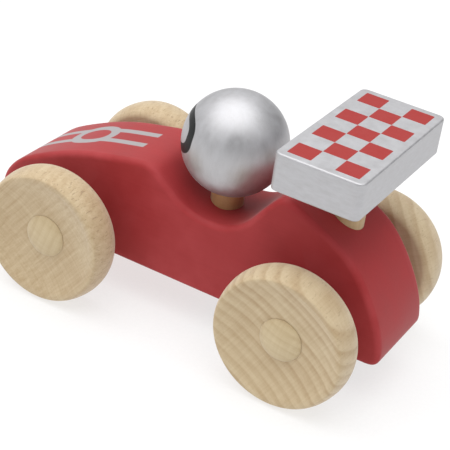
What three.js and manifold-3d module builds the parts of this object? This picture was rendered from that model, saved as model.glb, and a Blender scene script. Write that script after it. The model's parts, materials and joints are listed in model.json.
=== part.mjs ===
// Wooden pull back racing car: a painted beech body on four turned wheels, with a
// clockwork motor on the rear axle. Millimetres, +Z up.
// The origin is on the ground under the middle of the car. +X is the nose and +Y the driver's left.
import * as THREE from 'three';
import { RoundedBoxGeometry } from 'three/addons/geometries/RoundedBoxGeometry.js';
import { mergeVertices } from 'three/addons/utils/BufferGeometryUtils.js';
import Module from 'manifold-3d';

const wasm = await Module();
wasm.setup();

// Gaps
const faceGap = 0.3;
const roundGap = 0.15;
const cutPast = 1;

// Body block
const bodyHalfWidth = 13.75;
const bodyBottom = 11.8;
const tailX = -63;
const noseX = 63;
const noseRadius = 5.5;
const tailCornerRadius = 2.5;
const edgeRound = 1.8;

// Wheels
const wheelRadius = 20;
const outerShoulder = { drop: 1.6, power: 1.54 };
const innerShoulder = { drop: 3, power: 2 };
const wheelInnerY = 21.6;
const wheelOuterY = 32.7;
const rimWidth = 1.2;
const rimStep = 0.2;
const hubSeatY = 29.5;
const hubSeatRadius = 6.5;
const axleZ = wheelRadius;
const rearAxleX = -41;
const frontAxleX = 35;

// Axles, sleeves, bushes and hub caps
const axleRadius = 1.5;
const axleHalfLength = 26.6;
const sleeveRadius = 4;
const bushRadius = 2.7;
const bushLength = 6;
const bushFlangeRadius = 4.5;
const bushFlange = 1;
const capRadius = 6.2;
const capHeight = 1.7;
const capEdge = 0.25;
const capTenonRadius = 4.75;
const capTenonLength = 2.3;

// Driver and rear wing
const dowelRadius = 4.75;
const headRadius = 15;
const headX = -4.9;
const headZ = 53.1;
const neckBottom = 24.5;
const neckTop = 46;
const wingX = -41.2;
const wingChord = 25.2;
const wingSpan = 51;
const wingThickness = 10.7;
const wingTop = 69.4;
const wingRound = 1;
const postBottom = 36.4;
const postTop = 64;

// Motor case, and the pocket in the body that takes it
const caseFrontX = -14.2;
const caseRearX = -46.3;
const caseBottom = 13.7;
const caseTop = 30.3;
const caseHalfWidth = 9;
const caseWall = 1.2;
const caseSide = 1.4;
const pocketGap = 0.4;
const caseBossRadius = 1.7;

// Gears: module 0.5, in two planes either side of the mainspring
const gearModule = 0.5;
const addendum = gearModule * 0.85;
const dedendum = gearModule * 1.2;
const toothRootShare = 0.3;
const toothTipShare = 0.1;
const pinionTeeth = 12;
const wheelTeeth = 24;
const gearZ = 22;
const leftPlane = [4.4, 6.8];
const rightPlane = [-6.8, -4.4];
const pinRadius = 0.8;
const arborRadius = 1.2;
const shaftHalfLength = 8.7;

// Mainspring
const springTurns = 4;
const springThickness = 0.35;
const springInner = 1.75;
const springOuter = 4.9;
const springPlane = [-3.6, 3.6];

// Cover plate and screws
const coverFrontX = -5.4;
const coverRearX = -54.6;
const coverHalfWidth = 11;
const coverThickness = 1.6;
const coverScrewX = [-51.1, -8.9];
const coverScrewY = [6, -6];
const screwHeadRadius = 2.2;
const screwHeadHeight = 1.3;
const screwShankRadius = 0.85;
const screwHeadRim = 0.2;
const screwLength = 8;
const caseScrewPlaces = [[-43.8, 27.8], [-16.7, 16.2]];
const caseScrewHeadRadius = 1.3;
const caseScrewHeadHeight = 0.8;
const caseScrewShankRadius = 0.6;
const caseScrewLength = 13;

// Smoothness
const wheelSegments = 32;
const rodSegments = 20;
const screwSegments = 12;

// Finishes
const finish = (color, roughness, metalness = 0) =>
  new THREE.MeshStandardMaterial({ color, roughness, metalness });
const redPaint = finish(0xa8383c, 0.55);
const silverPaint = finish(0xb9babc, 0.38, 0.6);
const beech = finish(0xd9bb8c, 0.7);
const steel = finish(0xb4b6b8, 0.3, 1);
const brass = finish(0xc7a55a, 0.35, 1);
const nylon = finish(0xe9e6dc, 0.5);
const blackPlastic = finish(0x26272a, 0.5);

// ---------------------------------------------------------------- helpers

// A closed three.js geometry as a solid that can be joined and cut.
function toSolid(geometry) {
  const bare = geometry.clone();
  bare.deleteAttribute('normal');
  bare.deleteAttribute('uv');
  const merged = mergeVertices(bare, 1e-4);
  return new wasm.Manifold(new wasm.Mesh({
    numProp: 3,
    vertProperties: new Float32Array(merged.attributes.position.array),
    triVerts: new Uint32Array(merged.index.array),
  }));
}

function toGeometry(solid) {
  const mesh = solid.getMesh();
  const geometry = new THREE.BufferGeometry();
  geometry.setAttribute('position', new THREE.BufferAttribute(mesh.vertProperties, 3));
  geometry.setIndex(new THREE.BufferAttribute(mesh.triVerts, 1));
  geometry.computeVertexNormals();
  return geometry;
}

const cut = (geometry, cutters) =>
  toGeometry(cutters.reduce((solid, cutter) => solid.subtract(toSolid(cutter)), toSolid(geometry)));
const join = (geometry, additions) =>
  toGeometry(additions.reduce((solid, extra) => solid.add(toSolid(extra)), toSolid(geometry)));

// A box between two corners.
function block(low, high) {
  const size = high.map((value, i) => value - low[i]);
  const middle = high.map((value, i) => (value + low[i]) / 2);
  return new THREE.BoxGeometry(...size).translate(...middle);
}

// A round bar along Y through (x, z), from y = start to y = end.
function barAlongY(radius, start, end, x = 0, z = 0, segments = rodSegments) {
  const bar = new THREE.CylinderGeometry(radius, radius, end - start, segments);
  return bar.translate(x, (start + end) / 2, z);
}

// A round bar along Z through (x, y), from z = start to z = end.
function barAlongZ(radius, start, end, x = 0, y = 0, segments = rodSegments) {
  const bar = new THREE.CylinderGeometry(radius, radius, end - start, segments);
  return bar.rotateX(Math.PI / 2).translate(x, y, (start + end) / 2);
}

// A solid turned on the Y axis from [radius, y] points that run anticlockwise.
function turned(points, segments) {
  return new THREE.LatheGeometry(points.map(([r, y]) => new THREE.Vector2(r, y)), segments);
}

// A tube along Y: outer and inner radius, from y = start to y = end.
function tubeAlongY(outer, inner, start, end, segments = rodSegments) {
  return turned([[inner, start], [outer, start], [outer, end], [inner, end], [inner, start]], segments);
}

// A flat outline drawn in X and Z, given thickness from y = start to y = end.
function slab(shape, start, end, options = {}) {
  const depth = end - start;
  const solid = new THREE.ExtrudeGeometry(shape, { depth, bevelEnabled: false, ...options });
  return solid.rotateX(Math.PI / 2).translate(0, end, 0);
}

function mesh(name, geometry, material, place = [0, 0, 0]) {
  const node = new THREE.Mesh(geometry, material);
  node.name = name;
  node.position.set(...place);
  return node;
}

const sides = [['left', 1], ['right', -1]];

// ---------------------------------------------------------------- body

// The side view: flat underneath, a long bonnet, a scooped cockpit and a humped tail.
function bodyOutline() {
  const outline = new THREE.Shape();
  outline.moveTo(tailX + tailCornerRadius, bodyBottom);
  outline.lineTo(noseX - noseRadius, bodyBottom);
  outline.absarc(noseX - noseRadius, bodyBottom + noseRadius, noseRadius, -Math.PI / 2, 0);
  const bonnet = [[62.6, 22], [60.9, 25.7], [57.8, 29.2], [53.9, 31.9], [47.4, 35.3], [40.4, 38.4],
    [33.5, 40.7], [26.7, 42.3], [17.5, 44.1]];
  const cowl = [[12.4, 43.9], [8.3, 41]];
  const cockpit = [[2.6, 36.8], [-2.5, 34.9], [-7.9, 34.4], [-13.5, 35.6], [-18, 38.8], [-22.2, 44.4],
    [-25.6, 48.6]];
  const hump = [[-28.4, 50.4], [-31.8, 49.4]];
  const tail = [[-36.5, 47.3], [-41.7, 44.9], [-46, 42.6], [-49.8, 39.9], [-53.6, 35.8],
    [-57.2, 30.6], [-60.4, 24.6], [-62.3, 19.2], [tailX, bodyBottom + tailCornerRadius]];
  const stations = [...bonnet, ...cowl, ...cockpit, ...hump, ...tail];
  outline.splineThru(stations.map(([x, z]) => new THREE.Vector2(x, z)));
  outline.absarc(tailX + tailCornerRadius, bodyBottom + tailCornerRadius, tailCornerRadius,
    Math.PI, Math.PI * 1.5);
  return outline;
}

// The hollow under the body for the motor, and the shallow step that its cover sits in.
function motorPocket() {
  const pocketLow = [caseRearX - pocketGap * 3, -caseHalfWidth - pocketGap, bodyBottom - cutPast];
  const pocketHigh = [caseFrontX + pocketGap * 3, caseHalfWidth + pocketGap, caseTop + pocketGap];
  const stepLow = [coverRearX - faceGap, -coverHalfWidth - faceGap, bodyBottom - cutPast];
  const stepHigh = [coverFrontX + faceGap, coverHalfWidth + faceGap, bodyBottom + coverThickness + faceGap];
  return [block(pocketLow, pocketHigh), block(stepLow, stepHigh)];
}

// Slots in both flanks, open underneath, through which the rear axle drops into place.
function rearAxleSlots() {
  const slotRadius = axleRadius + faceGap * 2;
  const reach = bodyHalfWidth + cutPast;
  const round = barAlongY(slotRadius, -reach, reach, rearAxleX, axleZ);
  const slot = block([rearAxleX - slotRadius, -reach, bodyBottom - cutPast],
    [rearAxleX + slotRadius, reach, axleZ]);
  return [round, slot];
}

function bodyBlock() {
  const inset = bodyHalfWidth - edgeRound;
  const blank = slab(bodyOutline(), -inset, inset, {
    bevelEnabled: true,
    bevelThickness: edgeRound,
    bevelSize: edgeRound,
    bevelOffset: -edgeRound,
    bevelSegments: 3,
    curveSegments: 2,
  });
  const dowelHole = dowelRadius + roundGap;
  const overhead = headZ + headRadius;
  const reach = bodyHalfWidth + cutPast;
  const pilotHoles = coverScrewX.flatMap((x) => coverScrewY.map((y) =>
    barAlongZ(screwShankRadius + roundGap, bodyBottom, bodyBottom + screwLength + faceGap * 2, x, y,
      screwSegments)));
  return cut(blank, [
    ...motorPocket(),
    ...rearAxleSlots(),
    ...pilotHoles,
    barAlongY(bushRadius + roundGap, -reach, reach, frontAxleX, axleZ),
    barAlongZ(dowelHole, neckBottom - faceGap, overhead, headX),
    barAlongZ(dowelHole, postBottom - faceGap, overhead, wingX),
  ]);
}

// ---------------------------------------------------------------- driver and wing

function driverHead() {
  const ball = new THREE.SphereGeometry(headRadius, 28, 18).rotateX(Math.PI / 2);
  const boreTop = neckTop + faceGap - headZ;
  return cut(ball, [barAlongZ(dowelRadius + roundGap, -headRadius - cutPast, boreTop)]);
}

function wingBoard() {
  const board = new RoundedBoxGeometry(wingChord, wingSpan, wingThickness, 2, wingRound);
  const boardZ = wingTop - wingThickness / 2;
  const boreTop = postTop + faceGap - boardZ;
  return cut(board, [barAlongZ(dowelRadius + roundGap, -wingThickness, boreTop)]);
}

// ---------------------------------------------------------------- wheels and axles

// A left wheel: crowned tread, dished outer face, a bore for the axle and a seat for the hub cap.
// The tread falls to its two edges in shoulders, of which the one towards the body is rounder.
function wheelProfile() {
  const middleY = (wheelInnerY + wheelOuterY) / 2;
  const halfWidth = (wheelOuterY - wheelInnerY) / 2;
  const tread = (t) => {
    const { drop, power } = t < 0 ? innerShoulder : outerShoulder;
    const fall = drop * (1 - Math.sqrt(1 - Math.abs(t) ** power));
    return [wheelRadius - fall, middleY + halfWidth * t];
  };
  const bore = axleRadius + roundGap;
  const socket = capTenonRadius + roundGap;
  const socketFloor = axleHalfLength + faceGap;
  const crown = [-1, -0.96, -0.8, -0.5, 0, 0.6, 0.92, 1].map(tread);
  const rimRadius = wheelRadius - outerShoulder.drop - rimWidth;
  const dishDepth = wheelOuterY - rimStep - hubSeatY;
  const dish = [0, 0.33, 0.67, 1].map((s) => [
    rimRadius + (hubSeatRadius - rimRadius) * s,
    wheelOuterY - rimStep - dishDepth * Math.sin(s * Math.PI / 2),
  ]);
  return [
    [bore, wheelInnerY],
    ...crown,
    ...dish,
    [socket, hubSeatY],
    [socket, socketFloor],
    [bore, socketFloor],
    [bore, wheelInnerY],
  ];
}

// A hub cap: a tenon that fills the socket and a low dome over it.
function capProfile() {
  const base = hubSeatY + faceGap;
  const dome = [1, 0.85, 0.5].map((s) => [capRadius * s, base + capEdge + capHeight * (1 - s ** 2)]);
  return [
    [0, base - capTenonLength],
    [capTenonRadius, base - capTenonLength],
    [capTenonRadius, base],
    [capRadius, base],
    ...dome,
    [0, base + capEdge + capHeight],
  ];
}

// Everything that turns with one axle, about its own centre.
function axleSet(end, sleeveStart) {
  const group = new THREE.Group();
  const rod = barAlongY(axleRadius, -axleHalfLength, axleHalfLength);
  group.add(mesh(`${end}_axle`, rod, steel));
  for (const [side, sign] of sides) {
    const half = new THREE.Group();
    half.rotation.z = sign > 0 ? 0 : Math.PI;
    half.add(mesh(`${end}_wheel_${side}`, turned(wheelProfile(), wheelSegments), beech));
    half.add(mesh(`${end}_hub_cap_${side}`, turned(capProfile(), rodSegments), beech));
    const sleeve = tubeAlongY(sleeveRadius, axleRadius + roundGap, sleeveStart, wheelInnerY - faceGap);
    half.add(mesh(`${end}_sleeve_${side}`, sleeve, nylon));
    group.add(half);
  }
  return group;
}

// A flanged bush in the body's front bore, on the left side.
function bushProfile() {
  const inner = axleRadius + roundGap;
  const flangeStart = bodyHalfWidth + faceGap;
  return [
    [inner, bodyHalfWidth - bushLength],
    [bushRadius, bodyHalfWidth - bushLength],
    [bushRadius, flangeStart],
    [bushFlangeRadius, flangeStart],
    [bushFlangeRadius, flangeStart + bushFlange],
    [inner, flangeStart + bushFlange],
    [inner, bodyHalfWidth - bushLength],
  ];
}

// ---------------------------------------------------------------- gears

// A spur gear outline about the origin, with one tooth centred at the angle firstTooth.
function gearShape(teeth, firstTooth, bore) {
  const pitchRadius = gearModule * teeth / 2;
  const tipRadius = pitchRadius + addendum;
  const rootRadius = pitchRadius - dedendum;
  const toothAngle = 2 * Math.PI / teeth;
  const corners = [[rootRadius, -toothRootShare], [tipRadius, -toothTipShare],
    [tipRadius, toothTipShare], [rootRadius, toothRootShare]];
  const points = Array.from({ length: teeth }).flatMap((_, tooth) => corners.map(([radius, share]) => {
    const angle = firstTooth + toothAngle * (tooth + share);
    return new THREE.Vector2(radius * Math.cos(angle), radius * Math.sin(angle));
  }));
  const shape = new THREE.Shape(points);
  const hole = new THREE.Path();
  hole.absarc(0, 0, bore, 0, 2 * Math.PI, true);
  shape.holes.push(hole);
  return shape;
}

const gearSlab = (teeth, firstTooth, bore, [start, end]) =>
  slab(gearShape(teeth, firstTooth, bore), start, end, { curveSegments: rodSegments / 2 });

// Pinion and wheel centres are half the sum of their teeth, times the module, apart.
const gearDistance = gearModule * (pinionTeeth + wheelTeeth) / 2;
const gearRise = gearZ - axleZ;
const idlerX = rearAxleX + Math.sqrt(gearDistance ** 2 - gearRise ** 2);
const arborX = idlerX + gearDistance;
const axleToIdler = Math.atan2(gearRise, idlerX - rearAxleX);
const halfWheelTooth = Math.PI / wheelTeeth;

// The idler: a wheel that the axle pinion drives, and a long pinion that drives the winding gear.
function idlerGear() {
  const bore = pinRadius + roundGap;
  const wheel = gearSlab(wheelTeeth, axleToIdler + Math.PI + halfWheelTooth, bore, leftPlane);
  const pinion = gearSlab(pinionTeeth, 0, bore, [rightPlane[0], leftPlane[1]]);
  return join(wheel, [pinion]);
}

// A flat strip wound in a spiral that grows evenly from the arbor outwards.
function mainspring() {
  const steps = springTurns * 16;
  const growth = springOuter - springInner;
  const spiral = (offset) => Array.from({ length: steps + 1 }, (_, i) => {
    const angle = 2 * Math.PI * springTurns * i / steps;
    const radius = springInner + growth * i / steps + offset;
    return new THREE.Vector2(radius * Math.cos(angle), radius * Math.sin(angle));
  });
  const outline = [...spiral(springThickness / 2), ...spiral(-springThickness / 2).reverse()];
  return slab(new THREE.Shape(outline), ...springPlane);
}

// ---------------------------------------------------------------- motor case

// One half of the case on the +Y side: a tray with bearing holes and two screw bosses.
function caseHalf(bossHole, headHole) {
  const outerLow = [caseRearX, faceGap / 2, caseBottom];
  const outerHigh = [caseFrontX, caseHalfWidth, caseTop];
  const innerLow = [caseRearX + caseWall, -cutPast, caseBottom + caseWall];
  const innerHigh = [caseFrontX - caseWall, caseHalfWidth - caseSide, caseTop - caseWall];
  const tray = cut(block(outerLow, outerHigh), [block(innerLow, innerHigh)]);
  const bosses = caseScrewPlaces.map(([x, z]) =>
    barAlongY(caseBossRadius, faceGap / 2, caseHalfWidth - caseSide / 2, x, z, screwSegments));
  const past = caseHalfWidth + cutPast;
  const bores = [[axleRadius, rearAxleX, axleZ], [pinRadius, idlerX, gearZ], [arborRadius, arborX, gearZ]];
  const bearings = bores.map(([radius, x, z]) => barAlongY(radius + roundGap, 0, past, x, z));
  const screwHoles = caseScrewPlaces.flatMap(([x, z]) => [
    barAlongY(caseScrewShankRadius + roundGap, 0, bossHole, x, z, screwSegments),
    ...(headHole ? [barAlongY(caseScrewHeadRadius + roundGap, headHole, past, x, z, screwSegments)] : []),
  ]);
  return cut(join(tray, bosses), [...bearings, ...screwHoles]);
}

// The right half mirrors the left one, so its faces are turned over again.
function mirroredInY(geometry) {
  const mirrored = geometry.clone().scale(1, -1, 1);
  const order = mirrored.index.array;
  for (let i = 0; i < order.length; i += 3) {
    [order[i], order[i + 1]] = [order[i + 1], order[i]];
  }
  return mirrored;
}

const headSeat = caseHalfWidth - caseScrewHeadHeight - faceGap;
const leftCase = caseHalf(caseScrewLength + headSeat - caseHalfWidth, null);
const rightCase = mirroredInY(caseHalf(headSeat, headSeat));

// ---------------------------------------------------------------- cover and screws

// A countersunk screw standing on its head, with a cross cut in the head.
function coverScrew() {
  const tip = 0.6;
  const body = turned([
    [0, 0],
    [screwHeadRadius, 0],
    [screwHeadRadius, screwHeadRim],
    [screwShankRadius, screwHeadHeight],
    [screwShankRadius, screwLength - tip],
    [0, screwLength],
  ], screwSegments);
  const crossHalf = 1.2;
  const slotHalf = 0.28;
  const depth = 0.5;
  const cross = [
    block([-crossHalf, -cutPast, -slotHalf], [crossHalf, depth, slotHalf]),
    block([-slotHalf, -cutPast, -crossHalf], [slotHalf, depth, crossHalf]),
  ];
  return cut(body, cross).rotateX(Math.PI / 2);
}

function caseScrew() {
  const head = barAlongY(caseScrewHeadRadius, 0, caseScrewHeadHeight, 0, 0, screwSegments);
  const shank = barAlongY(caseScrewShankRadius, caseScrewHeadHeight / 2, caseScrewLength, 0, 0,
    screwSegments);
  return join(head, [shank]);
}

// A flat plate with four countersunk holes, flush with the underside of the body.
function motorCover() {
  const plate = block([coverRearX, -coverHalfWidth, bodyBottom],
    [coverFrontX, coverHalfWidth, bodyBottom + coverThickness]);
  const holeRadius = screwShankRadius + faceGap;
  const sink = screwHeadRadius + faceGap;
  const hole = turned([[0, -cutPast], [sink, -cutPast], [sink, screwHeadRim], [holeRadius, screwHeadHeight],
    [holeRadius, coverThickness + cutPast], [0, coverThickness + cutPast]], screwSegments);
  hole.rotateX(Math.PI / 2);
  const holes = coverScrewX.flatMap((x) => coverScrewY.map((y) => hole.clone().translate(x, y, bodyBottom)));
  return cut(plate, holes);
}

// ---------------------------------------------------------------- the car

const car = new THREE.Group();

const chassis = new THREE.Group();
chassis.add(mesh('body', bodyBlock(), redPaint));
chassis.add(mesh('driver_head', driverHead(), silverPaint, [headX, 0, headZ]));
chassis.add(mesh('driver_neck', barAlongZ(dowelRadius, neckBottom, neckTop), beech, [headX, 0, 0]));
chassis.add(mesh('wing_board', wingBoard(), silverPaint, [wingX, 0, wingTop - wingThickness / 2]));
chassis.add(mesh('wing_post', barAlongZ(dowelRadius, postBottom, postTop), beech, [wingX, 0, 0]));
for (const [side, sign] of sides) {
  const bush = mesh(`front_bush_${side}`, turned(bushProfile(), rodSegments), nylon);
  bush.position.set(frontAxleX, 0, axleZ);
  bush.rotation.z = sign > 0 ? 0 : Math.PI;
  chassis.add(bush);
}
car.add(chassis);

const rearSet = axleSet('rear', bodyHalfWidth + faceGap);
const pinionSlab = gearSlab(pinionTeeth, axleToIdler, axleRadius + roundGap, leftPlane);
rearSet.add(mesh('axle_pinion', pinionSlab, brass));
rearSet.position.set(rearAxleX, 0, axleZ);
car.add(rearSet);

const frontSet = axleSet('front', bodyHalfWidth + bushFlange + faceGap * 2);
frontSet.position.set(frontAxleX, 0, axleZ);
car.add(frontSet);

const motor = new THREE.Group();
motor.add(mesh('motor_case_left', leftCase, blackPlastic));
motor.add(mesh('motor_case_right', rightCase, blackPlastic));
motor.add(mesh('idler_gear', idlerGear(), nylon, [idlerX, 0, gearZ]));
motor.add(mesh('idler_pin', barAlongY(pinRadius, -shaftHalfLength, shaftHalfLength), steel,
  [idlerX, 0, gearZ]));
const windingSlab = gearSlab(wheelTeeth, Math.PI + halfWheelTooth, arborRadius + roundGap, rightPlane);
motor.add(mesh('winding_gear', windingSlab, nylon, [arborX, 0, gearZ]));
motor.add(mesh('winding_arbor', barAlongY(arborRadius, -shaftHalfLength, shaftHalfLength), steel,
  [arborX, 0, gearZ]));
motor.add(mesh('mainspring', mainspring(), steel, [arborX, 0, gearZ]));
caseScrewPlaces.forEach(([x, z], i) => {
  motor.add(mesh(`case_screw_${i + 1}`, caseScrew(), steel, [x, -headSeat - caseScrewHeadHeight, z]));
});
car.add(motor);

const underside = new THREE.Group();
underside.add(mesh('motor_cover', motorCover(), blackPlastic));
coverScrewX.forEach((x, i) => coverScrewY.forEach((y, j) => {
  const name = `cover_screw_${['rear', 'front'][i]}_${sides[j][0]}`;
  underside.add(mesh(name, coverScrew(), steel, [x, y, bodyBottom]));
}));
car.add(underside);

export default car;
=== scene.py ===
# %% [markdown]
# # A wooden pull back racing car
# The toy is a block of beech, sawn to a racing car's side view, sanded round at the edges and painted
# matte red. A silver ball on a dowel is the driver, a silver board on a second dowel is the rear wing,
# and four turned beech wheels are pressed on two steel axles. A clockwork motor hides in a pocket
# under the tail.
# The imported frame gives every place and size. Each shape here is worked out again as a fine surface
# inside that frame, and rides on the same body as the plain solid that it stands for.

# %% Load the frame
import json

import bmesh
import bpy
import numpy as np
from mathutils import Matrix, Vector


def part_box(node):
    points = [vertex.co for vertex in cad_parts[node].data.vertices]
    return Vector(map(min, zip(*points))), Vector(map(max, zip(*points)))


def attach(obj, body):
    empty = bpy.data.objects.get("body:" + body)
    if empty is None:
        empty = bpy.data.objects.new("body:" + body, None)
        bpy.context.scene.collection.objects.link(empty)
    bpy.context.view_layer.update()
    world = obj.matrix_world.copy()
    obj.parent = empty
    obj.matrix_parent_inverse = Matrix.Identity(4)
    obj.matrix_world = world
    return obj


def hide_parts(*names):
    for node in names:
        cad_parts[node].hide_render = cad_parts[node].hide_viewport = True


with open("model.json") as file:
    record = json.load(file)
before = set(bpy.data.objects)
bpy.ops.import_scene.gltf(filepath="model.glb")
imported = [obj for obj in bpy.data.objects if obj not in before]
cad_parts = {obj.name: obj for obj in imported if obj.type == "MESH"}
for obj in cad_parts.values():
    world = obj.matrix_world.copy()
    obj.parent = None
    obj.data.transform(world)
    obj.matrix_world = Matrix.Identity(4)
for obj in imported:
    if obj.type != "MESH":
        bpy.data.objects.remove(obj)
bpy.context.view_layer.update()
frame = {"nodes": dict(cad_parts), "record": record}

# %% [markdown]
# ## Units and places
# The frame is in metres, but a maker of small wooden toys thinks in millimetres, so the shapes below
# are worked out in millimetres and turned to metres once, when the mesh is made. Every place comes
# from the frame's own boxes.

# %% Millimetres and boxes
MM = 0.001


def corners(node):
    """The lowest and highest corner of a CAD node, in millimetres."""
    low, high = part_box(node)
    return np.array(low) / MM, np.array(high) / MM


def middle(node):
    """The middle of a CAD node's box, in millimetres."""
    low, high = corners(node)
    return (low + high) / 2


BODY_LOW, BODY_HIGH = corners("body")
HALF_WIDTH = BODY_HIGH[1]
AXLE_PLACES = {end: middle(f"{end}_axle") for end in ("rear", "front")}
SIDES = {"left": 1, "right": -1}
UP = (0, 0, 1)
print("body", BODY_LOW, BODY_HIGH, "axles", AXLE_PLACES)

# %% [markdown]
# ## Tools for finishes
# Every finish is a set of nodes that reads Object coordinates, in which each piece keeps its place in
# the car. One function turns an sRGB hex value to the linear colour that the shader wants, and one
# adds a node with its settings and links, so each material below reads as a short recipe.

# %% Colours and nodes
def linear(code, alpha=1.0):
    """An sRGB hex value as a linear colour: c / 12.92 up to 0.04045, and above that
    ((c + 0.055) / 1.055) ^ 2.4."""
    srgb = np.array([int(code[i:i + 2], 16) for i in (1, 3, 5)]) / 255
    return (*np.where(srgb <= 0.04045, srgb / 12.92, ((srgb + 0.055) / 1.055) ** 2.4), alpha)


def add(tree, kind, inputs=(), output=0, stops=(), **settings):
    """Adds a shader node. inputs maps a socket's name or number to a value or to another node's
    output, stops are a colour ramp's (position, hex colour) pairs, and the answer is one of the new
    node's own outputs."""
    node = tree.nodes.new("ShaderNode" + kind)
    for name, value in settings.items():
        setattr(node, name, value)
    for name, value in dict(inputs).items():
        if isinstance(value, bpy.types.NodeSocket):
            tree.links.new(value, node.inputs[name])
        else:
            node.inputs[name].default_value = value
    for number, (position, code) in enumerate(stops):
        element = node.color_ramp.elements[number]
        element.position = position
        element.color = linear(code)
    return node.outputs[output] if len(node.outputs) else node


def new_material(name):
    """An empty material with its node tree and the output node that its shader will go to."""
    material = bpy.data.materials.new(name)
    material.use_nodes = True
    material.node_tree.nodes.clear()
    return material, material.node_tree


def in_millimetres(tree):
    """Where a point is in the car, in millimetres: Object coordinates times a thousand."""
    place = add(tree, "TexCoord", output="Object")
    return add(tree, "VectorMath", {0: place, "Scale": 1 / MM}, operation="SCALE")


def streaks(tree, place, sizes, detail, roughness=0.5, scale=1.0):
    """Noise drawn out into streaks: each axis is multiplied by its own size first, so that the
    pattern is longest where the size is smallest."""
    drawn = add(tree, "VectorMath", {0: place, 1: sizes}, operation="MULTIPLY")
    return add(tree, "TexNoise", {"Vector": drawn, "Scale": scale, "Detail": detail,
                                  "Roughness": roughness})


# %% [markdown]
# ## The view and the light
# The camera stands behind the car on its left, a little above it, with a long lens, and is rolled by
# a few degrees so that the car seems to drive downhill. The light is a white studio tent: a pale
# floor, walls that are brighter overhead than at the horizon, and one broad soft light at the top.
# The tent has two dim places, the door that the camera looks in by and a seam behind the car on its
# right. They hardly change the light, but metal paint mirrors them and so looks like metal.

# %% Camera
VIEW_AZIMUTH, VIEW_ELEVATION, VIEW_ROLL = np.radians([206.69, 30.59, 8.19])
VIEW_DISTANCE = 0.406
VIEW_TARGET = Vector((-0.00532, 0.0, 0.02682))
LENS_MM = 114.84

camera = bpy.data.objects.new("camera", bpy.data.cameras.new("camera"))
bpy.context.scene.collection.objects.link(camera)
back = Vector((
    np.sin(VIEW_AZIMUTH) * np.cos(VIEW_ELEVATION),
    -np.cos(VIEW_AZIMUTH) * np.cos(VIEW_ELEVATION),
    np.sin(VIEW_ELEVATION),
))
turn = (-back).to_track_quat("-Z", "Y").to_matrix() @ Matrix.Rotation(VIEW_ROLL, 3, "Z")
camera.matrix_world = Matrix.Translation(VIEW_TARGET + back * VIEW_DISTANCE) @ turn.to_4x4()
camera.data.lens = LENS_MM
camera.data.clip_start = 0.01
bpy.context.scene.camera = camera
print("camera at", tuple(round(v, 4) for v in camera.location))

# %% Lights
TENT_LOW, TENT_HIGH = 0.5, 0.92
TENT_RISE = (0.0, 0.4)
DOOR_EDGE, DOOR_DIM = (0.9, 0.985), 0.02
SEAM_EDGE, SEAM_DIM = (0.8, 0.97), 0.35
SEAM_AIM = Vector((-0.50, -0.80, 0.33))
SOFTBOX_WATTS = 5.4
SOFTBOX_SIZE = 1.2
SOFTBOX_PLACE = Vector((0.10, 0.08, 0.78))

world = bpy.data.worlds.new("studio_tent")
world.use_nodes = True
world.node_tree.nodes.clear()
bpy.context.scene.world = world


def dimmed_towards(tree, aim, direction, edge, dim):
    """1 everywhere except near one direction, where it falls to dim between the cosines in edge."""
    near = add(tree, "VectorMath", {0: aim, 1: direction}, "Value", operation="DOT_PRODUCT")
    return add(tree, "MapRange", {"Value": near, "From Min": edge[0], "From Max": edge[1],
                                  "To Min": 1.0, "To Max": dim}, interpolation_type="SMOOTHSTEP")


tent = world.node_tree
aim = add(tent, "TexCoord", output="Generated")
height = add(tent, "SeparateXYZ", {0: aim}, "Z")
wall = add(tent, "MapRange", {"Value": height, "From Min": TENT_RISE[0], "From Max": TENT_RISE[1],
                              "To Min": TENT_LOW, "To Max": TENT_HIGH},
           interpolation_type="SMOOTHSTEP")
door = dimmed_towards(tent, aim, back, DOOR_EDGE, DOOR_DIM)
seam = dimmed_towards(tent, aim, SEAM_AIM.normalized(), SEAM_EDGE, SEAM_DIM)
gaps = add(tent, "Math", {0: door, 1: seam}, operation="MULTIPLY")
glow = add(tent, "Math", {0: wall, 1: gaps}, operation="MULTIPLY")
backdrop = add(tent, "Background", {"Strength": glow, "Color": (1, 1, 1, 1)})
add(tent, "OutputWorld", {"Surface": backdrop})

softbox = bpy.data.objects.new("softbox", bpy.data.lights.new("softbox", "AREA"))
softbox.data.energy = SOFTBOX_WATTS
softbox.data.shape = "DISK"
softbox.data.size = SOFTBOX_SIZE
softbox.location = SOFTBOX_PLACE
softbox.rotation_mode = "QUATERNION"
softbox.rotation_quaternion = (-SOFTBOX_PLACE).to_track_quat("-Z", "Y")
bpy.context.scene.collection.objects.link(softbox)
bpy.context.scene.view_settings.view_transform = "Standard"
print("softbox", SOFTBOX_WATTS, "W over", SOFTBOX_SIZE, "m")

# %% [markdown]
# ## Tools for shapes
# Nearly every part of this toy was made on one of two machines. A lathe turns the wheels, hub caps,
# ball, dowels, sleeves and axles, so one function carries a profile round an axis. A saw and a sander
# make the body, the wing board and the cover plate, so a second function gives an outline thickness
# and rolls its edges over in a quarter circle. Both compute a whole grid of points at once.

# %% From a grid of points to a piece
SHARP_DEGREES = 32
WELD, TINY = 1e-7, 1e-8


def finish_mesh(mesh):
    """Welds seams and poles, turns faces outwards and shades smooth except over sharp edges."""
    work = bmesh.new()
    work.from_mesh(mesh)
    bmesh.ops.remove_doubles(work, verts=work.verts, dist=WELD)
    bmesh.ops.dissolve_degenerate(work, edges=work.edges, dist=TINY)
    bmesh.ops.recalc_face_normals(work, faces=work.faces)
    work.to_mesh(mesh)
    work.free()
    mesh.shade_smooth()
    mesh.set_sharp_from_angle(angle=np.radians(SHARP_DEGREES))


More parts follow.
